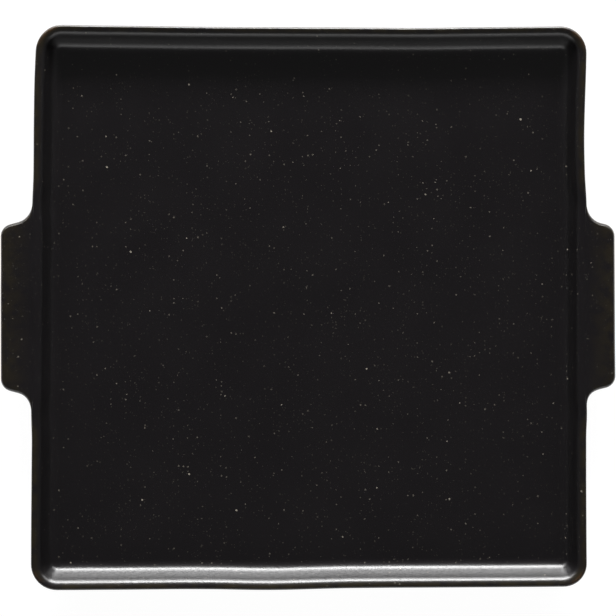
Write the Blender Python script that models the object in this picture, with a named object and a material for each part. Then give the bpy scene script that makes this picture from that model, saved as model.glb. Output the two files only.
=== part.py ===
"""Square stoneware serving plate with a low upturned rim and a flat lug handle on its left and right.

Metres, +Z up. The plate stands on its foot ring at Z = 0, centred on the origin, with the handles along X.
Sizes are over the fired glaze. The clay lies under it, and neighbouring pieces keep JOINT_GAP between them.
A skin is a depth below the glaze surface: 0 is the outside of the glaze, GLAZE_THICKNESS its inside.
"""

import math

import bmesh
import bpy
from mathutils import Matrix, Vector

OBJECT_NAME = "handled_serving_plate"

# Plan of the plate. Its body lies a little to the right of the middle between the handle tips.
# A roundness is a corner's share of the radii: the front right corner is the tightest.
BODY_WIDTH = 0.2697
BODY_DEPTH = 0.2736
BODY_SHIFT = 0.0007
CORNER_RADIUS = 0.0128
WELL_CORNER_RADIUS = 0.003
BACK_RIGHT_ROUNDNESS = 1.05
FRONT_RIGHT_ROUNDNESS = 0.86

# Section of the plate: the wall leans out and the top of its lip tilts inward
FOOT_HEIGHT = 0.003
FLOOR_THICKNESS = 0.006
WELL_DEPTH = 0.0103
WALL_THICKNESS = 0.0038
WALL_ANGLE = math.radians(61)
LIP_TILT = math.radians(12)
LIP_LAND = 0.0003
LIP_EDGE_RADIUS = 0.0012
WELL_FILLET = 0.0066
BASE_FILLET = 0.006

# Sides that the hand left out of true: a lean from end to end, a bow between the ends, a dent or a bulge
LEFT_LEAN = 0.0009
LEFT_DENT = 0.00095
LEFT_DENT_PLACE = 0.137
LEFT_DENT_SPREAD = 0.014
RIGHT_BOW = 0.0003
RIGHT_DENT = 0.0009
RIGHT_DENT_PLACE = 0.082
RIGHT_DENT_SPREAD = 0.02
BACK_LEAN = -0.0004
BACK_BOW = 0.0007
FRONT_LEAN = 0.0009
FRONT_BULGE = 0.0006
FRONT_BULGE_PLACE = -0.018
FRONT_BULGE_SPREAD = 0.016

# Handles: tapered lugs whose tops lie a little under the lip. The right one is shorter.
LEFT_REACH = 0.01585
LEFT_TIP_LENGTH = 0.079
LEFT_ROOT_LENGTH = 0.0874
RIGHT_REACH = 0.01445
RIGHT_TIP_LENGTH = 0.0776
RIGHT_ROOT_LENGTH = 0.0846
RIGHT_HANDLE_SHIFT = 0.0008
HANDLE_THICKNESS = 0.0065
HANDLE_DROP = 0.0006
HANDLE_EDGE_RADIUS = 0.0016
HANDLE_TIP_RADIUS = 0.0055
HANDLE_ROOT_RADIUS = 0.0095

# Foot ring, set back from where the underside turns flat
FOOT_SETBACK = 0.004
FOOT_WIDTH = 0.006
FOOT_CORNER_RADIUS = 0.012
FOOT_EDGE_RADIUS = 0.001

# Glaze, and the bare clay that it leaves beside the foot
GLAZE_THICKNESS = 0.0005
GLAZE_STOP = 0.0015
JOINT_GAP = 0.0003

# Smoothness of the round stretches
QUARTER_TURN = math.pi / 2
CORNER_STEPS = 6
SIDE_STEPS = 12
FILLET_STEPS = 5
LIP_STEPS = 4
EDGE_STEPS = 3
MERGE_DISTANCE = 0.000001
SMOOTH_ANGLE = math.radians(40)

# Sizes that follow from these
FLOOR_HEIGHT = FOOT_HEIGHT + FLOOR_THICKNESS
CREST_HEIGHT = FLOOR_HEIGHT + WELL_DEPTH
LIP_EDGE = Vector((LIP_EDGE_RADIUS, CREST_HEIGHT - LIP_EDGE_RADIUS))
HANDLE_MIDDLE = CREST_HEIGHT - HANDLE_DROP - HANDLE_THICKNESS / 2
CLAY_SKIN = GLAZE_THICKNESS + JOINT_GAP
CORNERS = ((1, 1, BACK_RIGHT_ROUNDNESS), (-1, 1, 1), (-1, -1, 1), (1, -1, FRONT_RIGHT_ROUNDNESS))

CLAY_COLOUR = (0.26, 0.16, 0.10)
BARE_CLAY_COLOUR = (0.33, 0.22, 0.15)
GLAZE_COLOUR = (0.0105, 0.0103, 0.0105)
CLAY_ROUGHNESS = 0.85
GLAZE_ROUGHNESS = 0.22


def arc(centre, radius, start, end, steps):
    """Points along an arc in a plane, from one angle to another."""
    angles = [start + (end - start) * step / steps for step in range(steps + 1)]
    return [centre + radius * Vector((math.cos(angle), math.sin(angle))) for angle in angles]


def between(first, last, steps):
    """The points that divide a straight run into equal steps, without its ends."""
    return [first.lerp(last, step / steps) for step in range(1, steps)]


def facing(angle):
    """Unit vector (inset, height) that leans inward from straight up by an angle."""
    return Vector((math.sin(angle), math.cos(angle)))


def beside_wall(offset, height):
    """Point at a height, and at an offset square to the wall, inward from the centre of the lip's round edge."""
    inward = facing(WALL_ANGLE)
    inset = LIP_EDGE.x + (offset - inward.y * (height - LIP_EDGE.y)) / inward.x
    return Vector((inset, height))


def lip_shoulder():
    """Centre and radius of the lip's round inner side, which starts one land in from its edge."""
    top = facing(LIP_TILT)
    half_turn = (WALL_ANGLE - LIP_TILT) / 2
    room = WALL_THICKNESS / math.sin(2 * half_turn) - LIP_EDGE_RADIUS / math.tan(half_turn)
    radius = (room - LIP_LAND) / math.tan(half_turn)
    start = LIP_EDGE + top * LIP_EDGE_RADIUS + Vector((top.y, -top.x)) * LIP_LAND
    return start - top * radius, radius


def bend(centre, radius, start, end, steps):
    """Round stretch of a section, from where it faces one way to where it faces another."""
    angles = [start + (end - start) * step / steps for step in range(steps + 1)]
    return [centre + radius * facing(angle) for angle in angles]


def base_centre():
    """Centre of the fillet between the wall and the underside."""
    return beside_wall(BASE_FILLET - LIP_EDGE_RADIUS, FOOT_HEIGHT + BASE_FILLET)


def rim_section(skin):
    """Section from the well, over the lip and round to the underside, as (inset, height) points."""
    well = beside_wall(WALL_THICKNESS - LIP_EDGE_RADIUS + WELL_FILLET, FLOOR_HEIGHT + WELL_FILLET)
    shoulder, shoulder_radius = lip_shoulder()
    section = bend(well, -WELL_FILLET - skin, 0, WALL_ANGLE, FILLET_STEPS)
    section += bend(shoulder, shoulder_radius - skin, WALL_ANGLE, LIP_TILT, LIP_STEPS)
    section += bend(LIP_EDGE, LIP_EDGE_RADIUS - skin, LIP_TILT, WALL_ANGLE - math.pi, LIP_STEPS)
    section += bend(base_centre(), skin - BASE_FILLET, WALL_ANGLE, 0, FILLET_STEPS)
    return section


def foot_inset():
    """Distance from the plate's edge to the outside of the foot ring."""
    return base_centre().x + FOOT_SETBACK


def bowed(bow, along):
    """Shift of a bowed side at a place from -1 to 1 along it, with no shift on average."""
    return bow * (3 * along**2 - 1) / 2


def bell(depth, place, spread, at):
    """Depth of a dent or bulge at a place along a side."""
    return depth * math.exp(-(((at - place) / spread) ** 2) / 2)


def hand_formed(point):
    """A point of the true plan, moved with the body and as the nearest sides are out of true."""
    across = point.x / (BODY_WIDTH / 2)
    along = point.y / (BODY_DEPTH / 2)
    left, right = (1 - across) / 2, (1 + across) / 2
    front, back = (1 - along) / 2, (1 + along) / 2
    left_dent = bell(LEFT_DENT, LEFT_DENT_PLACE, LEFT_DENT_SPREAD, point.y)
    right_dent = bell(RIGHT_DENT, RIGHT_DENT_PLACE, RIGHT_DENT_SPREAD, point.y)
    bulge = bell(FRONT_BULGE, FRONT_BULGE_PLACE, FRONT_BULGE_SPREAD, point.x)
    left_shift = LEFT_LEAN * along + left_dent
    right_shift = bowed(RIGHT_BOW, along) - right_dent
    shift_x = BODY_SHIFT + left * left_shift + right * right_shift
    shift_y = front * (FRONT_LEAN * across - bulge) + back * (BACK_LEAN * across + bowed(BACK_BOW, across))
    return point + Vector((shift_x, shift_y, 0))


def level_loop(inset, radius, height):
    """Closed level loop round the plate, at one inset from its edge."""
    half_x = BODY_WIDTH / 2 - inset
    half_y = BODY_DEPTH / 2 - inset
    loop = []
    for quarter, (sign_x, sign_y, roundness) in enumerate(CORNERS):
        corner_radius = radius * roundness
        centre = Vector((sign_x * (half_x - corner_radius), sign_y * (half_y - corner_radius)))
        start = quarter * QUARTER_TURN
        corner = arc(centre, corner_radius, start, start + QUARTER_TURN, CORNER_STEPS)
        if loop:
            loop += between(loop[-1], corner[0], SIDE_STEPS)
        loop += corner
    loop += between(loop[-1], loop[0], SIDE_STEPS)
    return [hand_formed(Vector((point.x, point.y, height))) for point in loop]


def add_object(name, mesh, collection):
    """Object of a mesh, linked to a collection."""
    made = bpy.data.objects.new(name, mesh)
    collection.objects.link(made)
    return made


def loft(name, loops, collection, closed=False):
    """Solid through loops of equal length, capped at both ends or closed on itself as a ring."""
    shape = bmesh.new()
    rows = [[shape.verts.new(point) for point in loop] for loop in loops]
    if not closed:
        shape.faces.new(rows[0])
        shape.faces.new(rows[-1])
    followers = rows[1:] + rows[:1] if closed else rows[1:]
    for row, follower in zip(rows, followers):
        for index in range(len(row)):
            shape.faces.new((row[index - 1], row[index], follower[index], follower[index - 1]))
    bmesh.ops.recalc_face_normals(shape, faces=shape.faces)
    mesh = bpy.data.meshes.new(name)
    shape.to_mesh(mesh)
    shape.free()
    return add_object(name, mesh, collection)


def plate_solid(name, skin, collection):
    """The plate without its handles, to a skin below the glaze surface."""
    loops = []
    for spot in rim_section(skin):
        radius = max(CORNER_RADIUS - spot.x, WELL_CORNER_RADIUS)
        loops.append(level_loop(spot.x, radius, spot.y))
    return loft(name, loops, collection)


def inward_normals(corners, index):
    """Unit normals, into an outline that runs anticlockwise, of the edges before and after a corner."""
    normals = []
    for first in (index - 1, index):
        edge = corners[(first + 1) % len(corners)] - corners[first]
        normals.append(Vector((-edge.y, edge.x)).normalized())
    return normals


def inset_corners(corners, distance):
    """Corners of an outline with every edge moved inward by a distance."""
    moved = []
    for index, corner in enumerate(corners):
        before, after = inward_normals(corners, index)
        moved.append(corner + (before + after) * distance / (1 + before.dot(after)))
    return moved


def rounded_corner(corners, index, radius):
    """Arc that rounds one corner of an outline."""
    corner = corners[index]
    before, after = inward_normals(corners, index)
    turn = before.angle_signed(after)
    side = 1 if turn < 0 else -1
    centre = corner + (before + after) * side * radius / (1 + before.dot(after))
    spoke = -before * side * radius
    return [centre + Matrix.Rotation(-turn * step / EDGE_STEPS, 2) @ spoke for step in range(EDGE_STEPS + 1)]


def lug_outline(root, reach, tip_length, root_length, run_in, skin):
    """Plan of a handle's blank that points along +X, from inside the rim wall out to its tip and back."""
    root_y = root_length / 2
    slant = math.atan2(root_length - tip_length, 2 * reach)
    fillet_run = HANDLE_ROOT_RADIUS * math.tan((QUARTER_TURN - slant) / 2)
    flare_y = root_y + fillet_run + HANDLE_EDGE_RADIUS / 2
    upper = [
        (Vector((root + reach, tip_length / 2)), HANDLE_TIP_RADIUS - skin),
        (Vector((root, root_y)), HANDLE_ROOT_RADIUS + skin),
        (Vector((root, flare_y)), 0),
        (Vector((root - run_in, flare_y + run_in)), 0),
        (Vector((root - run_in - 2 * HANDLE_EDGE_RADIUS, flare_y + run_in)), 0),
    ]
    lower = [(Vector((corner.x, -corner.y)), radius) for corner, radius in reversed(upper)]
    corners = inset_corners([corner for corner, radius in upper + lower], skin)
    outline = []
    for index, (_, radius) in enumerate(upper + lower):
        outline += rounded_corner(corners, index, radius) if radius else [corners[index]]
    return outline


def lug_solid(name, side, skin, collection):
    """Blank of the handle on one side, -1 left or 1 right, cut off in the middle of the rim wall."""
    wall_middle = WALL_THICKNESS / 2 - LIP_EDGE_RADIUS
    run_in = beside_wall(wall_middle, HANDLE_MIDDLE - HANDLE_THICKNESS / 2).x + HANDLE_EDGE_RADIUS
    root = BODY_WIDTH / 2 + side * BODY_SHIFT
    if side < 0:
        outline = lug_outline(root, LEFT_REACH, LEFT_TIP_LENGTH, LEFT_ROOT_LENGTH, run_in, skin)
        outline = [Vector((-point.x, point.y)) for point in reversed(outline)]
        middle = 0
    else:
        outline = lug_outline(root, RIGHT_REACH, RIGHT_TIP_LENGTH, RIGHT_ROOT_LENGTH, run_in, skin)
        middle = RIGHT_HANDLE_SHIFT
    edge_radius = HANDLE_EDGE_RADIUS - skin
    plan = bpy.data.curves.new(name + "_plan", "CURVE")
    plan.dimensions = "2D"
    plan.fill_mode = "BOTH"
    plan.extrude = HANDLE_THICKNESS / 2 - HANDLE_EDGE_RADIUS
    plan.bevel_depth = edge_radius
    plan.bevel_resolution = EDGE_STEPS
    plan.offset = -edge_radius
    spline = plan.splines.new("POLY")
    spline.points.add(len(outline) - 1)
    for spot, point in zip(spline.points, outline):
        spot.co = (point.x, point.y, 0, 1)
    spline.use_cyclic_u = True
    blank = add_object(name + "_plan", plan, collection)
    mesh = bpy.data.meshes.new_from_object(blank.evaluated_get(bpy.context.evaluated_depsgraph_get()))
    mesh.name = name
    bpy.data.objects.remove(blank)

    shape = bmesh.new()
    shape.from_mesh(mesh)
    bmesh.ops.remove_doubles(shape, verts=shape.verts, dist=MERGE_DISTANCE)
    cut = (side * (root - beside_wall(wall_middle, HANDLE_MIDDLE).x), 0, 0)
    inward = facing(WALL_ANGLE)
    cut_normal = (-side * inward.x, 0, inward.y)
    everything = shape.verts[:] + shape.edges[:] + shape.faces[:]
    bmesh.ops.bisect_plane(shape, geom=everything, plane_co=cut, plane_no=cut_normal, clear_outer=True)
    bmesh.ops.holes_fill(shape, edges=[edge for edge in shape.edges if edge.is_boundary])
    bmesh.ops.recalc_face_normals(shape, faces=shape.faces)
    shape.to_mesh(mesh)
    shape.free()
    made = add_object(name, mesh, collection)
    made.location = (0, middle, HANDLE_MIDDLE)
    return made


def combine(target, other, operation):
    """Adds another solid to an object, or cuts it away."""
    modifier = target.modifiers.new(f"{operation.lower()}_{other.name}", "BOOLEAN")
    modifier.operation = operation
    modifier.object = other


def make_foot_ring(collection):
    """Bare clay ring that the plate stands on."""
    outer = foot_inset()
    inner = outer + FOOT_WIDTH
    top = FOOT_HEIGHT + GLAZE_THICKNESS
    outer_round = Vector((outer + FOOT_EDGE_RADIUS, FOOT_EDGE_RADIUS))
    inner_round = Vector((inner - FOOT_EDGE_RADIUS, FOOT_EDGE_RADIUS))
    section = [Vector((outer, top))]
    section += arc(outer_round, FOOT_EDGE_RADIUS, math.pi, 3 * QUARTER_TURN, EDGE_STEPS)
    section += arc(inner_round, FOOT_EDGE_RADIUS, -QUARTER_TURN, 0, EDGE_STEPS)
    section += [Vector((inner, top))]
    loops = [level_loop(spot.x, FOOT_CORNER_RADIUS - (spot.x - outer), spot.y) for spot in section]
    return loft("foot_ring", loops, collection, closed=True)


def make_base_glaze(collection):
    """Glaze under the floor, inside the foot ring."""
    inset = foot_inset() + FOOT_WIDTH + GLAZE_STOP
    radius = FOOT_CORNER_RADIUS - FOOT_WIDTH - GLAZE_STOP
    heights = (FOOT_HEIGHT, FOOT_HEIGHT + GLAZE_THICKNESS)
    return loft("base_glaze", [level_loop(inset, radius, height) for height in heights], collection)


def make_handle(name, side, body_space, collection):
    """Clay lug, cut to the outside of the rim wall that it is luted to."""
    handle = lug_solid(name, side, CLAY_SKIN, collection)
    combine(handle, body_space, "DIFFERENCE")
    return handle


def make_glaze_coat(collection, cutters):
    """Glaze over the plate and its handles, hollow for the clay and open round the foot."""
    coat = plate_solid("glaze_coat", 0, collection)
    clay_space = plate_solid("clay_space", GLAZE_THICKNESS, cutters)
    for side, word in ((-1, "left"), (1, "right")):
        combine(coat, lug_solid(f"{word}_lug_glaze", side, 0, cutters), "UNION")
        combine(clay_space, lug_solid(f"{word}_lug_space", side, GLAZE_THICKNESS, cutters), "UNION")
    combine(coat, clay_space, "DIFFERENCE")
    inset = foot_inset() - GLAZE_STOP
    radius = FOOT_CORNER_RADIUS + GLAZE_STOP
    heights = (0, FOOT_HEIGHT + FLOOR_THICKNESS / 2)
    foot_space = loft("foot_space", [level_loop(inset, radius, height) for height in heights], cutters)
    combine(coat, foot_space, "DIFFERENCE")
    return coat


def finish(made, colour, roughness):
    """Gives an object its own material and smooth round stretches."""
    material = bpy.data.materials.new(made.name)
    material.use_nodes = True
    shader = material.node_tree.nodes["Principled BSDF"]
    shader.inputs["Base Color"].default_value = (*colour, 1)
    shader.inputs["Roughness"].default_value = roughness
    shader.inputs["Metallic"].default_value = 0
    made.data.materials.clear()
    made.data.materials.append(material)
    made.data.shade_smooth()
    made.data.set_sharp_from_angle(angle=SMOOTH_ANGLE)


def main():
    for old in list(bpy.data.objects):
        bpy.data.objects.remove(old)
    parts = bpy.data.collections.new(OBJECT_NAME)
    cutters = bpy.data.collections.new("cutters")
    for collection in (parts, cutters):
        bpy.context.scene.collection.children.link(collection)

    body_space = plate_solid("body_space", GLAZE_THICKNESS, cutters)
    clay_pieces = [
        plate_solid("plate_body", CLAY_SKIN, parts),
        make_handle("left_handle", -1, body_space, parts),
        make_handle("right_handle", 1, body_space, parts),
    ]
    glaze_pieces = [make_glaze_coat(parts, cutters), make_base_glaze(parts)]
    for piece in clay_pieces:
        finish(piece, CLAY_COLOUR, CLAY_ROUGHNESS)
    for piece in glaze_pieces:
        finish(piece, GLAZE_COLOUR, GLAZE_ROUGHNESS)
    finish(make_foot_ring(parts), BARE_CLAY_COLOUR, CLAY_ROUGHNESS)

    for cutter in cutters.objects:
        cutter.hide_render = True
        cutter.display_type = "WIRE"


main()
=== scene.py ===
"""Looks of the handled serving plate: black speckled glaze over stoneware, in a plain white studio.

Metres, +Z up, in the frame of the solids: +X towards the right handle, +Y towards the back.
"""

import math

import bpy
import numpy as np
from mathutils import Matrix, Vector, noise


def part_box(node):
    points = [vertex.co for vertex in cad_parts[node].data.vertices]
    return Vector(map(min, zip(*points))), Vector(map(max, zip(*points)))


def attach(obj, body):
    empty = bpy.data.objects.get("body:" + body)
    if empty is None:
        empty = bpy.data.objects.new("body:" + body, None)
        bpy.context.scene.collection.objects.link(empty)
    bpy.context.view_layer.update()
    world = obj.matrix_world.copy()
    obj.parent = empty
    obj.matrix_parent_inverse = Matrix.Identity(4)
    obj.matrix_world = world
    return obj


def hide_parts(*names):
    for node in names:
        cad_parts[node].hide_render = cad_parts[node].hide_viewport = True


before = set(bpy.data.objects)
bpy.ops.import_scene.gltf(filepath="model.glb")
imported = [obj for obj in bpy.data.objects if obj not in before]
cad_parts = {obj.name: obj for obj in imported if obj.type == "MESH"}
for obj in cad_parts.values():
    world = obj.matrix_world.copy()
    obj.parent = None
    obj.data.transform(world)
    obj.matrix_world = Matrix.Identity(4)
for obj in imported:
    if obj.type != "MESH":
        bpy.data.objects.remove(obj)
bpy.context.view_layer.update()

# Sizes that the frame gives
GLAZE_LOW, GLAZE_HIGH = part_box("glaze_coat")
HANDLE_TIP = GLAZE_HIGH.x
CREST_HEIGHT = GLAZE_HIGH.z
BASE_HEIGHT = GLAZE_LOW.z
FOOT_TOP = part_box("foot_ring")[1].z

# Plan and section of the plate
BODY_WIDTH = 0.2697
BODY_DEPTH = 0.2736
BODY_SHIFT = 0.0007
CORNER_RADIUS = 0.0128
WELL_CORNER_RADIUS = 0.003
BACK_RIGHT_ROUNDNESS = 1.05
FRONT_RIGHT_ROUNDNESS = 0.885
WELL_DEPTH = 0.0103
FLOOR_HEIGHT = CREST_HEIGHT - WELL_DEPTH
WALL_THICKNESS = 0.0038
WALL_ANGLE = math.radians(61)
WALL_HOLLOW = math.radians(5)
FRONT_WALL_LEAN = 0.0004
LIP_TILT = math.radians(12)
LIP_LAND = 0.0003
LIP_EDGE_RADIUS = 0.0012
LIP_EDGE = np.array([LIP_EDGE_RADIUS, CREST_HEIGHT - LIP_EDGE_RADIUS])
WELL_FILLET = 0.0066
BASE_FILLET = 0.006

# Sides out of true: a lean from end to end, a bow between the ends, a dent or a bulge
LEFT_LEAN = 0.0009
LEFT_DENT = 0.00095
LEFT_DENT_PLACE = 0.137
LEFT_DENT_SPREAD = 0.014
RIGHT_BOW = 0.0003
RIGHT_DENT = 0.0009
RIGHT_DENT_PLACE = 0.082
RIGHT_DENT_SPREAD = 0.02
BACK_LEAN = -0.0004
BACK_BOW = 0.0007
BACK_DENT = 0.0003
BACK_DENT_PLACE = 0.052
BACK_DENT_SPREAD = 0.016
FRONT_LEAN = 0.0009
FRONT_BULGE = 0.0006
FRONT_BULGE_PLACE = -0.018
FRONT_BULGE_SPREAD = 0.016

# Handles
LEFT_TIP_LENGTH = 0.079
LEFT_ROOT_LENGTH = 0.0874
RIGHT_TIP_LENGTH = 0.0776
RIGHT_ROOT_LENGTH = 0.0846
RIGHT_HANDLE_SHIFT = 0.0008
RIGHT_TIP_LEAN = 0.00045
HANDLE_THICKNESS = 0.0065
HANDLE_DROP = 0.0006
HANDLE_EDGE_RADIUS = 0.0016
HANDLE_TIP_RADIUS = 0.0062
HANDLE_ROOT_RADIUS = 0.0095
HANDLE_UNDER_FILLET = 0.002
HANDLE_TOP = CREST_HEIGHT - HANDLE_DROP
HANDLE_MIDDLE = HANDLE_TOP - HANDLE_THICKNESS / 2
HANDLE_UNDER = HANDLE_TOP - HANDLE_THICKNESS

# Where the handles run into the rim: a flare beside the root, a blend beyond it, a valley behind the lip
HANDLE_ROOT_FLARE = 0.0006
HANDLE_ROOT_FLARE_PLACE = 0.051
HANDLE_ROOT_FLARE_SPREAD = 0.005
HANDLE_ROOT_SPARE = 0.0012
HANDLE_ROOT_BLEND = 0.008
HANDLE_SETTLE_REACH = 0.007
VALLEY_START = math.radians(22)
JOIN_DROP = 0.0025
JOIN_HEIGHT = HANDLE_UNDER - JOIN_DROP

# The most that the valley and the round edge take of a handle's top where it is short
VALLEY_SHARE_LIMIT = 0.7
EDGE_SHARE_LIMIT = 0.6

# Foot ring and the glaze beside it
FOOT_SETBACK = 0.004
FOOT_WIDTH = 0.006
FOOT_CORNER_RADIUS = 0.012
FOOT_EDGE_RADIUS = 0.001
GLAZE_THICKNESS = 0.00045
GLAZE_STOP = 0.0015

# Waves of the surface, a length and a height each, and how thin the glaze runs, where the lip has 1
WAVES = ((0.045, 0.00014), (0.014, 0.00004))
WAVE_SEED = 5
CORNER_THINNING = 0.4
UNDER_LIP_THINNESS = 0.3
HANDLE_EDGE_THINNESS = 1.15
HANDLE_EDGE_FADE_STEPS = 9

# Glaze colours, and the ranges of a slope, of thin glaze or of noise in which one turns into the next
BLACK = (0.0022, 0.0014, 0.0022, 1)
SOFT_BLACK = (0.0032, 0.0021, 0.0029, 1)
# Painted light: a lighter black on steep slopes, which lifts the shade of the well's walls
SLOPE_PAINTED_LIGHT = (0.0052, 0.0046, 0.0050, 1)
BROWN = (0.0112, 0.0081, 0.0028, 1)
RICH_BROWN = (0.034, 0.018, 0.0062, 1)
SLOPE_PAINTED_LIGHT_RANGE = (0.9, 0.55)
BROWN_RANGE = (0.25, 1.0)
BROWN_PATCH_RANGE = (0.3, 0.62)
RICH_BROWN_RANGE = (1.0, 1.4)
CLOUD_SIZE = 0.03
BROWN_PATCH_SIZE = 0.006
CLOUD_RANGE = (0.3, 0.7)
GLAZE_ROUGHNESS = (0.284, 0.312)
GLAZE_GRAIN_SIZE = 0.0012
GLAZE_GRAIN_HEIGHT = 0.0001
GLAZE_GRAIN_STRENGTH = 0.25

# Three sorts of cream speck: spacing, largest radius, rarity of large ones, darkest and lightest tone
SPECKS = (
    (0.00138, 0.00042, 1.5, 0.0097, 0.0325),
    (0.00235, 0.00056, 2.0, 0.021, 0.087),
    (0.0058, 0.00062, 1.4, 0.053, 0.245),
)
SPECK_CORE = 0.55
CREAM_GREEN = 0.9
CREAM_BLUE = 0.74

# Fired clay, light and dark, and the iron in it
BARE_CLAY = ((0.40, 0.28, 0.19, 1), (0.27, 0.17, 0.11, 1))
COVERED_CLAY = ((0.30, 0.19, 0.12, 1), (0.2, 0.12, 0.075, 1))
CLAY_MOTTLE_SIZE = 0.004
CLAY_GRAIN_SIZE = 0.0006
CLAY_GRAIN_RANGE = (0.2, 0.8)
CLAY_GRAIN_HEIGHT = 0.0002
CLAY_GRAIN_STRENGTH = 0.5
CLAY_ROUGHNESS = (0.75, 0.95)
IRON = (0.05, 0.03, 0.02, 1)
IRON_SPACING = 0.002
IRON_RADIUS = 0.0003
IRON_RARITY = 1.5
IRON_STRENGTH = 0.7

# The set: a white floor that glows, a room that is brightest at the horizon, a grey card on each side
SET_FLOOR_REACH = 12.0
SET_FLOOR_COLOUR = (0.8, 0.8, 0.8, 1)
SET_FLOOR_GLOW = 0.962
SET_FLOOR_SHADING = (0.09, 0.09, 0.09, 1)
ROOM_HORIZON = (0.02, 0.22)
ROOM_STRENGTH = (0.7, 0.155)
CARD_PLACE = 0.5
CARD_LENGTH = 0.6
CARD_FOOT = 0.001
CARD_TOP = 0.4
CARD_COLOUR = (0.14, 0.14, 0.14, 1)

# Lights: azimuth, where 0 is the back and 90 the right, elevation, width, height and radiance
LIGHT_DISTANCE = 2.4
LIGHTS = {
    "back_softbox": (0, 19.5, 1.5, 0.44, 42),
    "back_bounce": (0, 4, 1.5, 0.25, 28),
    "left_wing": (-33, 19.5, 1.3, 0.44, 10),
    "right_wing": (33, 19.5, 1.3, 0.44, 10),
    "front_fill": (180, 25, 3.6, 0.46, 2.4),
    "front_bounce": (180, 9, 3.6, 0.6, 0.65),
}

# Camera, a little in front of the middle. The picture is square and just as wide as the object
PICTURE_WIDTH = 0.30002
CAMERA_DISTANCE = 1.15
CAMERA_SHIFT = -0.0002

# Stations round the plate, and steps along its section
QUARTER = math.pi / 2
CORNER_STEPS = 12
END_STEPS = 84
SIDE_STEPS = 20
SIDE_GRADING = 1.8
ROOT_STEPS = 8
FLANK_STEPS = 6
TIP_CORNER_STEPS = 8
TIP_STEPS = 28
FILLET_STEPS = 12
WALL_STEPS = 4
LIP_STEPS = 10
EDGE_STEPS = 3
HANDLE_LIP_STEPS = 4
VALLEY_STEPS = 4
FLAT_STEPS = 4
NOSE_STEPS = 6
UNDER_FLAT_STEPS = 3
UNDER_FILLET_STEPS = 4
BASE_STEPS = 7
PATCH_EDGE_STEPS = 4
FOOT_EDGE_STEPS = 6


def smooth_step(low, high, value):
    """0 below low, 1 above high and an even rise between them."""
    share = np.clip((value - low) / (high - low), 0, 1)
    return share * share * (3 - 2 * share)


def direction(angles):
    """Unit vectors in a plane, one row for each angle."""
    return np.column_stack([np.cos(angles), np.sin(angles)])


def arc(centre, radius, start, end, steps):
    """Points along an arc, one row each."""
    return centre + radius * direction(np.linspace(start, end, steps + 1))


def handle_outline(root_x, root_length, tip_length, lean=0):
    """Handle that points along +X: its points and normals, from the front round the tip to the back."""
    root = np.array([root_x, root_length / 2])
    tip = np.array([HANDLE_TIP, tip_length / 2])
    slant = math.atan2(root[1] - tip[1], tip[0] - root[0])
    reach = math.tan((QUARTER - slant) / 2)
    root_centre = root + HANDLE_ROOT_RADIUS * np.array([1, reach])
    tip_centre = tip - HANDLE_TIP_RADIUS * np.array([1, reach])

    root_angles = np.linspace(2 * QUARTER, 3 * QUARTER - slant, ROOT_STEPS + 1)
    tip_angles = np.linspace(QUARTER - slant, 0, TIP_CORNER_STEPS + 1)
    root_arc = root_centre + HANDLE_ROOT_RADIUS * direction(root_angles)
    tip_arc = tip_centre + HANDLE_TIP_RADIUS * direction(tip_angles)
    shares = np.linspace(0, 1, FLANK_STEPS + 1)[1:-1, None]
    flank = root_arc[-1] + shares * (tip_arc[0] - root_arc[-1])
    shares = np.linspace(0, 1, TIP_STEPS // 2 + 1)[1:, None]
    end = tip_arc[-1] + shares * (np.array([HANDLE_TIP, 0]) - tip_arc[-1])

    points = np.vstack([root_arc, flank, tip_arc, end])
    flank_normals = np.repeat(direction(tip_angles[:1]), len(flank), axis=0)
    end_normals = np.repeat([[1.0, 0.0]], len(end), axis=0)
    normals = np.vstack([-direction(root_angles), flank_normals, direction(tip_angles), end_normals])
    flip = np.array([1, -1])
    points = np.vstack([points * flip, points[-2::-1]])
    reached = (points[:, 0] - root_x) / (HANDLE_TIP - root_x)
    points[:, 0] -= lean * reached * (points[:, 1] / tip_length + 0.5)
    return points, np.vstack([normals * flip, normals[-2::-1]])


LEFT_ROOT = BODY_WIDTH / 2 - BODY_SHIFT
RIGHT_ROOT = BODY_WIDTH / 2 + BODY_SHIFT
LEFT_HANDLE = handle_outline(LEFT_ROOT, LEFT_ROOT_LENGTH, LEFT_TIP_LENGTH)
RIGHT_HANDLE = handle_outline(RIGHT_ROOT, RIGHT_ROOT_LENGTH, RIGHT_TIP_LENGTH, RIGHT_TIP_LEAN)


def side_shares(outline, middle, first_roundness, last_roundness):
    """Where the stations lie along the straight part of a side with a handle, as shares of its length."""
    first = CORNER_RADIUS * first_roundness - BODY_DEPTH / 2
    last = BODY_DEPTH / 2 - CORNER_RADIUS * last_roundness
    root_end = outline[-1, 1]
    lengths = np.linalg.norm(np.diff(outline, axis=0), axis=1)
    along = np.concatenate([[0], np.cumsum(lengths)]) / lengths.sum()
    handle = middle + root_end * (2 * along - 1)
    graded = np.linspace(0, 1, SIDE_STEPS + 1)[1:-1] ** SIDE_GRADING
    before = handle[0] - graded[::-1] * (handle[0] - first)
    after = handle[-1] + graded * (last - handle[-1])
    return (np.concatenate([before, handle, after]) - first) / (last - first)


END_SHARES = np.linspace(0, 1, END_STEPS + 1)[1:-1]
LEFT_SHARES = side_shares(LEFT_HANDLE[0], 0, 1, 1)
RIGHT_SHARES = side_shares(
    RIGHT_HANDLE[0], RIGHT_HANDLE_SHIFT, FRONT_RIGHT_ROUNDNESS, BACK_RIGHT_ROUNDNESS
)
RUNS = (END_SHARES, LEFT_SHARES, END_SHARES, RIGHT_SHARES)
CORNER_SIGNS = np.array([(1, 1), (-1, 1), (-1, -1), (1, -1)])
CORNER_ROUNDNESS = (BACK_RIGHT_ROUNDNESS, 1, 1, FRONT_RIGHT_ROUNDNESS)


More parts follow.
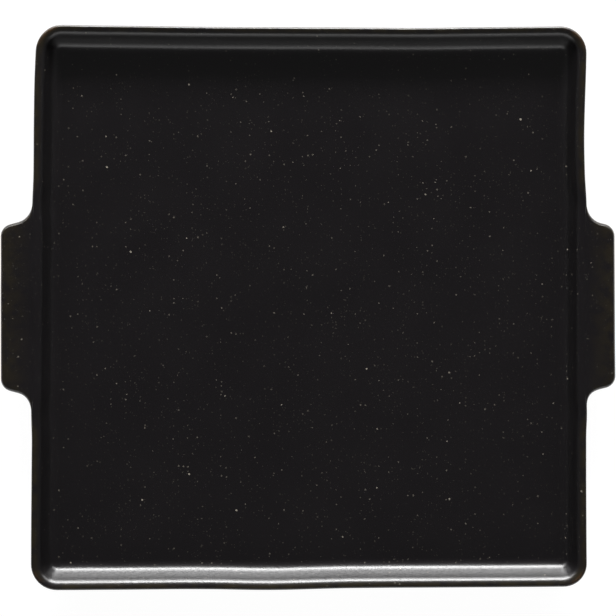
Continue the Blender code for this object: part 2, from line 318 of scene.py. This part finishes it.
def lay_out_stations():
    """The outward normal of each station round the plate, and the station that each corner starts at."""
    normals, starts = [], []
    for quarter, run in enumerate(RUNS):
        starts.append(sum(len(part) for part in normals))
        spokes = direction(quarter * QUARTER + np.linspace(0, QUARTER, CORNER_STEPS + 1))
        normals += [spokes, np.repeat(spokes[-1:], len(run), axis=0)]
    return np.vstack(normals), starts


WALL_NORMALS, CORNER_STARTS = lay_out_stations()
STATIONS = len(WALL_NORMALS)


def plan_loop(inset, radius):
    """Closed anticlockwise loop round the plate in its true plan, one point for each station."""
    half = np.array([BODY_WIDTH, BODY_DEPTH]) / 2 - inset
    corners = []
    for quarter, (sign, roundness) in enumerate(zip(CORNER_SIGNS, CORNER_ROUNDNESS)):
        start = quarter * QUARTER
        centre = sign * (half - radius * roundness)
        corners.append(arc(centre, radius * roundness, start, start + QUARTER, CORNER_STEPS))
    parts = []
    for corner, following, run in zip(corners, corners[1:] + corners[:1], RUNS):
        parts += [corner, corner[-1] + run[:, None] * (following[0] - corner[-1])]
    return np.vstack(parts)


def bowed(bow, along):
    """Shift of a bowed side at a place from -1 to 1 along it, with no shift on average."""
    return bow * (3 * along**2 - 1) / 2


def bell(depth, place, spread, at):
    """Depth of a dent or bulge at places along a side."""
    return depth * np.exp(-(((at - place) / spread) ** 2) / 2)


def hand_formed(plan):
    """Points of the true plan, moved with the body and as the nearest sides are out of true."""
    x, y = plan.T
    across = x / (BODY_WIDTH / 2)
    along = y / (BODY_DEPTH / 2)
    left, right = (1 - across) / 2, (1 + across) / 2
    front, back = (1 - along) / 2, (1 + along) / 2
    left_dent = bell(LEFT_DENT, LEFT_DENT_PLACE, LEFT_DENT_SPREAD, y)
    right_dent = bell(RIGHT_DENT, RIGHT_DENT_PLACE, RIGHT_DENT_SPREAD, y)
    back_dent = bell(BACK_DENT, BACK_DENT_PLACE, BACK_DENT_SPREAD, x)
    bulge = bell(FRONT_BULGE, FRONT_BULGE_PLACE, FRONT_BULGE_SPREAD, x)
    flare = bell(HANDLE_ROOT_FLARE, HANDLE_ROOT_FLARE_PLACE, HANDLE_ROOT_FLARE_SPREAD, np.abs(y))
    left_shift = LEFT_LEAN * along + left_dent - flare
    right_shift = bowed(RIGHT_BOW, along) - right_dent + flare
    front_shift = FRONT_LEAN * across - bulge
    back_shift = BACK_LEAN * across + bowed(BACK_BOW, across) - back_dent
    shift_x = BODY_SHIFT + left * left_shift + right * right_shift
    shift_y = front * front_shift + back * back_shift
    return plan + np.column_stack([shift_x, shift_y])


def with_height(plan, height):
    """Points in plan, raised to a height or to one height each."""
    return np.column_stack([plan, np.broadcast_to(height, len(plan))])


def level_loop(inset, radius, height):
    """Level loop at one inset from the plate's edge."""
    return with_height(hand_formed(plan_loop(inset, radius)), height)


def section_loops(section):
    """Loops through the points of a section, (inset, height) each."""
    loops = []
    for inset, height in section:
        loops.append(level_loop(inset, max(CORNER_RADIUS - inset, WELL_CORNER_RADIUS), height))
    return loops


def facing(angles):
    """Unit vectors (inset, height) that lean inward from straight up by these angles."""
    return np.stack([np.sin(angles), np.cos(angles)], axis=-1)


def bend(centre, radius, start, end, steps):
    """Round stretch of a section, from where it faces one way to where it faces another."""
    return centre + radius * facing(np.linspace(start, end, steps + 1))


def straight(first, last, steps):
    """Points that divide a straight stretch of a section, without its ends."""
    return first + np.linspace(0, 1, steps + 1)[1:-1, None] * (last - first)


def hollow(first, last, turn, steps):
    """Points that divide a slightly hollow stretch of a section, which turns this much at each end."""
    shares = np.linspace(0, 1, steps + 1)[1:-1, None]
    inward = np.array([last[1] - first[1], first[0] - last[0]])
    return first + shares * (last - first) - shares * (1 - shares) * math.tan(turn) * inward


def inset_beside_wall(offset, height):
    """Inset at a height and at an offset square to the wall, from the centre of the lip's edge inward."""
    inward = facing(WALL_ANGLE)
    return LIP_EDGE[0] + (offset - inward[1] * (height - LIP_EDGE[1])) / inward[0]


def beside_wall(offset, height):
    """Point at a height and at an offset square to the wall."""
    return np.array([inset_beside_wall(offset, height), height])


BASE_CENTRE = beside_wall(BASE_FILLET - LIP_EDGE_RADIUS, BASE_HEIGHT + BASE_FILLET)
FOOT_INSET = BASE_CENTRE[0] + FOOT_SETBACK
UPPER_STEPS = HANDLE_LIP_STEPS + VALLEY_STEPS + FLAT_STEPS + NOSE_STEPS
LOWER_STEPS = NOSE_STEPS + UNDER_FLAT_STEPS + UNDER_FILLET_STEPS


def lip_shoulder():
    """Centre and radius of the lip's round inner side, which starts one land in from its edge."""
    top = facing(LIP_TILT)
    half_turn = (WALL_ANGLE - LIP_TILT) / 2
    room = WALL_THICKNESS / math.sin(2 * half_turn) - LIP_EDGE_RADIUS / math.tan(half_turn)
    radius = (room - LIP_LAND) / math.tan(half_turn)
    start = LIP_EDGE + top * LIP_EDGE_RADIUS + np.array([top[1], -top[0]]) * LIP_LAND
    return start - top * radius, radius


def inner_section():
    """From the edge of the floor up to the crest of the lip, as (inset, height) points."""
    well = beside_wall(WALL_THICKNESS - LIP_EDGE_RADIUS + WELL_FILLET, FLOOR_HEIGHT + WELL_FILLET)
    shoulder, shoulder_radius = lip_shoulder()
    fillet = bend(well, -WELL_FILLET, 0, WALL_ANGLE - WALL_HOLLOW, FILLET_STEPS)
    lip = bend(shoulder, shoulder_radius, WALL_ANGLE + WALL_HOLLOW, LIP_TILT, LIP_STEPS)
    edge = bend(LIP_EDGE, LIP_EDGE_RADIUS, LIP_TILT, 0, EDGE_STEPS)
    return np.vstack([fillet, hollow(fillet[-1], lip[0], WALL_HOLLOW, WALL_STEPS), lip, edge])


def inner_loops():
    """Loops of the inner section. The front wall leans a little further into the well than the others."""
    section = inner_section()
    loops = section_loops(section)
    for loop, (_, height) in zip(loops, section):
        front = (1 - loop[:, 1] / (BODY_DEPTH / 2)) / 2
        loop[:, 1] += FRONT_WALL_LEAN * smooth_step(CREST_HEIGHT, FLOOR_HEIGHT, height) * front
    return loops


def outer_section():
    """From the crest of the lip down the outside as far as the handles reach, without the crest."""
    upper = bend(LIP_EDGE, LIP_EDGE_RADIUS, 0, -QUARTER, UPPER_STEPS)[1:]
    lower = bend(LIP_EDGE, LIP_EDGE_RADIUS, -QUARTER, WALL_ANGLE - math.pi, NOSE_STEPS)[1:]
    join = beside_wall(-LIP_EDGE_RADIUS, JOIN_HEIGHT)
    wall = straight(lower[-1], join, LOWER_STEPS - NOSE_STEPS + 1)
    return np.vstack([upper, lower, wall])


def lower_section():
    """From below the handles, round the base fillet, to where the underside turns flat."""
    start = beside_wall(-LIP_EDGE_RADIUS, JOIN_HEIGHT)
    fillet = bend(BASE_CENTRE, -BASE_FILLET, WALL_ANGLE, 0, BASE_STEPS)
    return np.vstack([start, straight(start, fillet[0], WALL_STEPS), fillet])


def handle_stations():
    """For each station: outline with handles, normal, reach beyond the wall, wall, share of a handle."""
    true_wall = plan_loop(0, CORNER_RADIUS) + np.array([BODY_SHIFT, 0])
    wall = hand_formed(plan_loop(0, CORNER_RADIUS))
    outline, normals = wall.copy(), WALL_NORMALS.copy()
    reach, handle_share = np.zeros(STATIONS), np.zeros(STATIONS)
    left = (1, -1, LEFT_HANDLE, LEFT_ROOT, 0)
    right = (3, 1, RIGHT_HANDLE, RIGHT_ROOT, RIGHT_HANDLE_SHIFT)
    for quarter, turn, (points, point_normals), root, shift in (left, right):
        first = CORNER_STARTS[quarter] + CORNER_STEPS + SIDE_STEPS
        span = slice(first, first + len(points))
        normals[span] = point_normals * turn
        reach[span] = points[:, 0] - root
        settle = 1 - smooth_step(0, HANDLE_SETTLE_REACH, reach[span])[:, None]
        outline[span] = points * turn + np.array([0, shift]) + settle * (wall[span] - true_wall[span])
        side = slice(span.start - SIDE_STEPS + 1, span.stop + SIDE_STEPS - 1)
        beyond = np.abs(true_wall[side, 1] - shift) - points[-1, 1]
        blend_end = HANDLE_ROOT_SPARE + HANDLE_ROOT_BLEND
        handle_share[side] = 1 - smooth_step(HANDLE_ROOT_SPARE, blend_end, beyond)
    return outline, normals, reach, wall, handle_share


def handle_loops():
    """Loops of the outer section over and under the handles, and each station's share of a handle."""
    outline, normals, reach, wall, handle_share = handle_stations()
    room = reach + LIP_EDGE_RADIUS * (1 - math.sin(VALLEY_START))
    edge = np.minimum(HANDLE_EDGE_RADIUS, EDGE_SHARE_LIMIT * room)[:, None]
    shoulder = outline - normals * edge
    loops = section_loops(bend(LIP_EDGE, LIP_EDGE_RADIUS, 0, -VALLEY_START, HANDLE_LIP_STEPS)[1:])

    root = loops[-1][:, :2]
    drop = loops[-1][0, 2] - HANDLE_TOP
    length = np.linalg.norm(shoulder - root, axis=1)
    valley = np.minimum(2 * drop / math.tan(VALLEY_START), VALLEY_SHARE_LIMIT * length)
    valley_share = np.divide(valley, length, out=np.ones(STATIONS), where=length > 0)
    for step in range(1, VALLEY_STEPS + FLAT_STEPS + 1):
        down = min(step / VALLEY_STEPS, 1)
        flat = max(step - VALLEY_STEPS, 0) / FLAT_STEPS
        along = valley_share * down + (1 - valley_share) * flat
        plan = root + along[:, None] * (shoulder - root)
        loops.append(with_height(plan, HANDLE_TOP + drop * (1 - down) ** 2))

    for angle in np.linspace(QUARTER, -QUARTER, 2 * NOSE_STEPS + 1)[1:]:
        plan = outline - normals * edge * (1 - math.cos(angle))
        loops.append(with_height(plan, HANDLE_MIDDLE + HANDLE_THICKNESS / 2 * math.sin(angle)))

    fillet = HANDLE_UNDER_FILLET
    centre = inset_beside_wall(-LIP_EDGE_RADIUS - fillet, HANDLE_UNDER - fillet)
    inner = wall - WALL_NORMALS * centre
    for share in np.linspace(0, 1, UNDER_FLAT_STEPS + 1)[1:]:
        loops.append(with_height(shoulder + share * (inner - shoulder), HANDLE_UNDER))
    for inward, upward in facing(np.linspace(0, WALL_ANGLE, UNDER_FILLET_STEPS + 1))[1:]:
        plan = wall - WALL_NORMALS * (centre + fillet * inward)
        loops.append(with_height(plan, HANDLE_UNDER - fillet * (1 - upward)))
    return loops, handle_share


def strip_faces(count, closed=False):
    """Quads from each of this many loops to the next. A closed section's last loop joins its first."""
    here = np.arange(STATIONS)
    after = (here + 1) % STATIONS
    faces = []
    for index in range(count if closed else count - 1):
        first = index * STATIONS
        second = (index + 1) % count * STATIONS
        faces += np.column_stack([first + here, second + here, second + after, first + after]).tolist()
    return faces


def grid_cap(loop, first, next_vertex, facing_up=True):
    """Quads that fill a loop from corner to corner: the points inside it, and the faces."""
    across = CORNER_STEPS + END_STEPS
    along = STATIONS // 2 - across
    start = CORNER_STARTS[2] + CORNER_STEPS // 2
    order = (start + np.arange(STATIONS + 1)) % STATIONS
    front = order[: across + 1]
    right = order[across : across + along + 1]
    back = order[across + along : 2 * across + along + 1][::-1]
    left = order[2 * across + along :][::-1]

    u = np.linspace(0, 1, across + 1)[:, None, None]
    v = np.linspace(0, 1, along + 1)[None, :, None]
    sides = (1 - v) * loop[front][:, None] + v * loop[back][:, None]
    sides = sides + (1 - u) * loop[left][None] + u * loop[right][None]
    corners = (1 - u) * (1 - v) * loop[front[0]] + u * (1 - v) * loop[front[-1]]
    corners = corners + (1 - u) * v * loop[back[0]] + u * v * loop[back[-1]]
    inside = (sides - corners)[1:-1, 1:-1]

    number = np.empty((across + 1, along + 1), dtype=int)
    inside_count = inside.shape[0] * inside.shape[1]
    number[1:-1, 1:-1] = next_vertex + np.arange(inside_count).reshape(inside.shape[:2])
    number[:, 0], number[:, -1] = first + front, first + back
    number[0], number[-1] = first + left, first + right
    quads = np.stack([number[:-1, :-1], number[1:, :-1], number[1:, 1:], number[:-1, 1:]], axis=-1)
    quads = quads.reshape(-1, 4)
    if not facing_up:
        quads = quads[:, ::-1]
    return inside.reshape(-1, 3), quads.tolist()


def wavy(points):
    """Points of a surface that a hand formed, moved by its small smooth waves."""
    noise.seed_set(WAVE_SEED)
    moved = points
    for apart, (length, height) in enumerate(WAVES):
        shifts = [noise.noise_vector(Vector(point) / length) for point in points + apart]
        moved = moved + np.array(shifts) * height
    return moved


def add_piece(name, points, faces, replaced):
    """Smooth mesh piece that rides on the plate and stands for a solid."""
    mesh = bpy.data.meshes.new(name)
    mesh.from_pydata(points.tolist(), [], faces)
    mesh.shade_smooth()
    piece = bpy.data.objects.new(name, mesh)
    bpy.context.scene.collection.objects.link(piece)
    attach(piece, "root")
    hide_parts(replaced)
    return piece


def thinness(count, crest, handle_share):
    """How thin the glaze runs at each point: most on the lip, its corners and the handles' edges."""
    thin = np.zeros(count)
    corners = 1 + CORNER_THINNING * np.abs(2 * WALL_NORMALS[:, 0] * WALL_NORMALS[:, 1])
    top_start = crest - EDGE_STEPS
    nose = UPPER_STEPS - NOSE_STEPS // 2
    for index in range(top_start - LIP_STEPS, crest + UPPER_STEPS + LOWER_STEPS + 1):
        step = index - crest
        lip = 1 - max(top_start - index, 0) / LIP_STEPS if step < UPPER_STEPS else UNDER_LIP_THINNESS
        handle = max(HANDLE_EDGE_THINNESS - abs(step - nose) / HANDLE_EDGE_FADE_STEPS, 0)
        plain = lip * corners
        thin[index * STATIONS : (index + 1) * STATIONS] = plain + handle_share * (handle - plain)
    return thin


def make_glaze():
    """Glaze over the well, the rim, the handles and the outside: a thin shell that ends beside the foot."""
    loops = inner_loops()
    crest = len(loops) - 1
    over_handles, handle_share = handle_loops()
    for plain, handle in zip(section_loops(outer_section()), over_handles):
        loops.append(plain + handle_share[:, None] * (handle - plain))
    loops += section_loops(lower_section())
    loops.append(level_loop(FOOT_INSET - GLAZE_STOP, FOOT_CORNER_RADIUS + GLAZE_STOP, BASE_HEIGHT))

    points = np.vstack(loops)
    floor, floor_faces = grid_cap(loops[0], 0, len(points))
    points = np.vstack([points, floor])
    faces = strip_faces(len(loops)) + floor_faces
    piece = add_piece("speckled_glaze", wavy(points), faces, "glaze_coat")

    thin = thinness(len(points), crest, handle_share)
    attribute = piece.data.attributes.new("thin_glaze", "FLOAT", "POINT")
    attribute.data.foreach_set("value", thin.astype(np.float32))

    shell = piece.modifiers.new("shell", "SOLIDIFY")
    shell.thickness = GLAZE_THICKNESS
    shell.offset = -1
    return piece


def make_base_glaze():
    """Patch of glaze under the floor, with a rounded edge."""
    inset = FOOT_INSET + FOOT_WIDTH + GLAZE_STOP
    radius = FOOT_CORNER_RADIUS - FOOT_WIDTH - GLAZE_STOP
    loops = [level_loop(inset, radius, BASE_HEIGHT + GLAZE_THICKNESS)]
    for angle in np.linspace(0, QUARTER, PATCH_EDGE_STEPS + 1)[1:]:
        sunk = GLAZE_THICKNESS * (1 - math.cos(angle))
        height = BASE_HEIGHT + GLAZE_THICKNESS * (1 - math.sin(angle))
        loops.append(level_loop(inset + sunk, radius - sunk, height))

    points = np.vstack(loops)
    top, top_faces = grid_cap(loops[0], 0, len(points))
    points = np.vstack([points, top])
    under, under_faces = grid_cap(loops[-1], (len(loops) - 1) * STATIONS, len(points), facing_up=False)
    points = np.vstack([points, under])
    faces = strip_faces(len(loops)) + top_faces + under_faces
    return add_piece("underside_glaze", points, faces, "base_glaze")


def make_foot():
    """Bare clay ring that the plate stands on, with rubbed edges."""
    inner = FOOT_INSET + FOOT_WIDTH
    outer_round = np.array([FOOT_INSET + FOOT_EDGE_RADIUS, FOOT_EDGE_RADIUS])
    inner_round = np.array([inner - FOOT_EDGE_RADIUS, FOOT_EDGE_RADIUS])
    section = np.vstack([
        [(FOOT_INSET, FOOT_TOP)],
        arc(outer_round, FOOT_EDGE_RADIUS, math.pi, 3 * QUARTER, FOOT_EDGE_STEPS),
        arc(inner_round, FOOT_EDGE_RADIUS, -QUARTER, 0, FOOT_EDGE_STEPS),
        [(inner, FOOT_TOP)],
    ])
    loops = []
    for inset, height in section:
        loops.append(level_loop(inset, FOOT_CORNER_RADIUS - (inset - FOOT_INSET), height))
    faces = strip_faces(len(loops), closed=True)
    return add_piece("bare_foot", np.vstack(loops), faces, "foot_ring")


def make_material(name):
    """New material, with its node tree and its shader."""
    material = bpy.data.materials.new(name)
    material.use_nodes = True
    return material, material.node_tree, material.node_tree.nodes["Principled BSDF"]


def put(tree, kind, inputs=None, **settings):
    """New shader node, with its settings and with values or links for its inputs."""
    made = tree.nodes.new("ShaderNode" + kind)
    for name, value in settings.items():
        setattr(made, name, value)
    for name, value in (inputs or {}).items():
        if isinstance(value, bpy.types.NodeSocket):
            tree.links.new(value, made.inputs[name])
        else:
            made.inputs[name].default_value = value
    return made


def calculate(tree, operation, first, second):
    """Result of one step of arithmetic."""
    return put(tree, "Math", {0: first, 1: second}, operation=operation).outputs[0]


def rise(tree, value, low, high, to_low=0.0, to_high=1.0):
    """A value taken smoothly from one range to another."""
    inputs = {"Value": value, "From Min": low, "From Max": high, "To Min": to_low, "To Max": to_high}
    return put(tree, "MapRange", inputs, interpolation_type="SMOOTHSTEP").outputs["Result"]


def mix_colours(tree, share, first, second):
    """Two colours mixed."""
    made = put(tree, "Mix", {0: share, 6: first, 7: second}, data_type="RGBA")
    return made.outputs[2]


def noise_of(tree, coordinates, size, detail=3.0, roughness=0.5):
    """Noise with lumps of about a real size."""
    inputs = {"Vector": coordinates, "Scale": 1 / size, "Detail": detail, "Roughness": roughness}
    return put(tree, "TexNoise", inputs).outputs["Fac"]


def height_of(tree, vector):
    """Height of a vector, its Z."""
    return put(tree, "SeparateXYZ", {0: vector}).outputs["Z"]


def speckles(tree, coordinates, spacing, largest, rarity):
    """Scattered dots: where they are, and a random tone for each. The rarity makes large ones scarce."""
    cells = put(tree, "TexVoronoi", {"Vector": coordinates, "Scale": 1 / spacing}, feature="F1")
    random = put(tree, "SeparateColor", {"Color": cells.outputs["Color"]})
    size = calculate(tree, "POWER", random.outputs[0], rarity)
    radius = calculate(tree, "MULTIPLY", size, largest / spacing)
    core = calculate(tree, "MULTIPLY", radius, SPECK_CORE)
    spot = put(tree, "MapRange", {"Value": cells.outputs["Distance"], "From Min": radius, "From Max": core})
    return spot.outputs["Result"], random.outputs[1]


def cream(tree, level):
    """Cream colour of a level of brightness."""
    green = calculate(tree, "MULTIPLY", level, CREAM_GREEN)
    blue = calculate(tree, "MULTIPLY", level, CREAM_BLUE)
    return put(tree, "CombineColor", {0: level, 1: green, 2: blue}).outputs[0]


def roughen(tree, shader, grain, height, strength):
    """Small bumps on a surface."""
    bump = put(tree, "Bump", {"Height": grain, "Strength": strength, "Distance": height})
    tree.links.new(bump.outputs["Normal"], shader.inputs["Normal"])


def glaze_material():
    """Satin black glaze with cream specks, which breaks to brown where it runs thin. Steep slopes get
    painted light, a lighter black.
    """
    material, tree, shader = make_material("black_glaze")
    place = put(tree, "TexCoord").outputs["Object"]
    thin = put(tree, "Attribute", attribute_name="thin_glaze").outputs["Fac"]

    cloud = noise_of(tree, place, CLOUD_SIZE)
    colour = mix_colours(tree, cloud, BLACK, SOFT_BLACK)
    # Painted light: steep slopes turn to a lighter black, which lifts the shade of the walls
    upward = height_of(tree, put(tree, "NewGeometry").outputs["Normal"])
    colour = mix_colours(tree, rise(tree, upward, *SLOPE_PAINTED_LIGHT_RANGE), colour, SLOPE_PAINTED_LIGHT)
    patchy = noise_of(tree, place, BROWN_PATCH_SIZE, detail=5.0, roughness=0.6)
    patches = rise(tree, patchy, *BROWN_PATCH_RANGE)
    brown_share = calculate(tree, "MULTIPLY", rise(tree, thin, *BROWN_RANGE), patches)
    brown = mix_colours(tree, rise(tree, thin, *RICH_BROWN_RANGE), BROWN, RICH_BROWN)
    colour = mix_colours(tree, brown_share, colour, brown)

    for spacing, largest, rarity, dark, light in SPECKS:
        spot, tone = speckles(tree, place, spacing, largest, rarity)
        level = rise(tree, tone, 0.0, 1.0, dark, light)
        colour = mix_colours(tree, spot, colour, cream(tree, level))
    tree.links.new(colour, shader.inputs["Base Color"])

    tree.links.new(rise(tree, cloud, *CLOUD_RANGE, *GLAZE_ROUGHNESS), shader.inputs["Roughness"])
    grain = noise_of(tree, place, GLAZE_GRAIN_SIZE, detail=2.0)
    roughen(tree, shader, grain, GLAZE_GRAIN_HEIGHT, GLAZE_GRAIN_STRENGTH)
    return material


def clay_material(name, light, dark):
    """Fired stoneware: grainy, with darker specks of iron."""
    material, tree, shader = make_material(name)
    place = put(tree, "TexCoord").outputs["Object"]
    colour = mix_colours(tree, noise_of(tree, place, CLAY_MOTTLE_SIZE, detail=6.0), light, dark)
    spot, _ = speckles(tree, place, IRON_SPACING, IRON_RADIUS, IRON_RARITY)
    colour = mix_colours(tree, calculate(tree, "MULTIPLY", spot, IRON_STRENGTH), colour, IRON)
    tree.links.new(colour, shader.inputs["Base Color"])

    grain = noise_of(tree, place, CLAY_GRAIN_SIZE, detail=4.0)
    tree.links.new(rise(tree, grain, *CLAY_GRAIN_RANGE, *CLAY_ROUGHNESS), shader.inputs["Roughness"])
    roughen(tree, shader, grain, CLAY_GRAIN_HEIGHT, CLAY_GRAIN_STRENGTH)
    return material


def add_panel(name, corners, material):
    """Flat panel of the set."""
    mesh = bpy.data.meshes.new(name)
    mesh.from_pydata(corners, [], [(0, 1, 2, 3)])
    mesh.materials.append(material)
    panel = bpy.data.objects.new(name, mesh)
    bpy.context.scene.collection.objects.link(panel)
    return panel


def floor_material():
    """White floor that is seen evenly bright, with a faint shadow, but lights the object as plain white."""
    material = bpy.data.materials.new("white_floor")
    material.use_nodes = True
    tree = material.node_tree
    tree.nodes.clear()
    path = put(tree, "LightPath")
    seen = calculate(tree, "MAXIMUM", path.outputs["Is Camera Ray"], path.outputs["Is Glossy Ray"])
    seen = calculate(tree, "MAXIMUM", seen, path.outputs["Is Transmission Ray"])
    shaded = put(tree, "BsdfDiffuse", {"Color": SET_FLOOR_SHADING})
    glow = put(tree, "Emission", {"Strength": SET_FLOOR_GLOW})
    shown = put(tree, "AddShader", {0: shaded.outputs[0], 1: glow.outputs[0]})
    plain = put(tree, "BsdfDiffuse", {"Color": SET_FLOOR_COLOUR})
    mixed = put(tree, "MixShader", {0: seen, 1: plain.outputs[0], 2: shown.outputs[0]})
    put(tree, "OutputMaterial", {"Surface": mixed.outputs[0]})
    return material


def make_floor():
    """Floor that the plate stands on, far wider than the picture."""
    reach = SET_FLOOR_REACH
    corners = [(-reach, -reach, 0), (reach, -reach, 0), (reach, reach, 0), (-reach, reach, 0)]
    add_panel("floor", corners, floor_material())


def make_room():
    """Room round the set, white and brightest at the horizon."""
    world = bpy.data.worlds.new("room")
    bpy.context.scene.world = world
    world.use_nodes = True
    tree = world.node_tree
    background = tree.nodes["Background"]
    upward = height_of(tree, put(tree, "TexCoord").outputs["Generated"])
    tree.links.new(rise(tree, upward, *ROOM_HORIZON, *ROOM_STRENGTH), background.inputs["Strength"])
    background.inputs["Color"].default_value = (1, 1, 1, 1)


def polar(distance, azimuth, elevation):
    """Point at a distance from the middle of the plate. Azimuth 0 is the back, 90 the right."""
    across, up = math.radians(azimuth), math.radians(elevation)
    return (
        distance * math.cos(up) * math.sin(across),
        distance * math.cos(up) * math.cos(across),
        distance * math.sin(up),
    )


def add_light(name, azimuth, elevation, width, height, radiance):
    """Soft box that faces the well. An area light of power P and area A has a radiance of P / (4 A)."""
    lamp = bpy.data.lights.new(name, "AREA")
    lamp.shape = "RECTANGLE"
    lamp.size, lamp.size_y = width, height
    lamp.energy = 4 * width * height * radiance
    made = bpy.data.objects.new(name, lamp)
    made.location = polar(LIGHT_DISTANCE, azimuth, elevation)
    aim = Vector((0, 0, FLOOR_HEIGHT)) - made.location
    made.rotation_euler = aim.to_track_quat("-Z", "Y").to_euler()
    made.visible_camera = False
    bpy.context.scene.collection.objects.link(made)


def add_card(name, place):
    """Grey card beside the set, which keeps the side walls dark. It stays out of the picture."""
    material, _, shader = make_material(name)
    shader.inputs["Base Color"].default_value = CARD_COLOUR
    shader.inputs["Roughness"].default_value = 1
    front, back = -CARD_LENGTH / 2, CARD_LENGTH / 2
    outline = ((front, CARD_FOOT), (back, CARD_FOOT), (back, CARD_TOP), (front, CARD_TOP))
    card = add_panel(name, [(place, *corner) for corner in outline], material)
    card.visible_camera = False


def make_camera():
    """Camera straight above the plate."""
    camera = bpy.data.cameras.new("camera")
    camera.lens = camera.sensor_width * CAMERA_DISTANCE / PICTURE_WIDTH
    made = bpy.data.objects.new("camera", camera)
    made.location = (0, CAMERA_SHIFT, LIP_EDGE[1] + CAMERA_DISTANCE)
    bpy.context.scene.collection.objects.link(made)
    bpy.context.scene.camera = made


glaze = glaze_material()
bare_clay = clay_material("bare_clay", *BARE_CLAY)
clay = clay_material("clay", *COVERED_CLAY)
make_glaze().data.materials.append(glaze)
make_base_glaze().data.materials.append(glaze)
make_foot().data.materials.append(bare_clay)
for node_name in ("plate_body", "left_handle", "right_handle"):
    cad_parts[node_name].material_slots[0].material = clay

make_floor()
make_room()
for light_name, settings in LIGHTS.items():
    add_light(light_name, *settings)
add_card("left_flag", -CARD_PLACE)
add_card("right_flag", CARD_PLACE)
make_camera()
bpy.context.scene.view_settings.view_transform = "Standard"
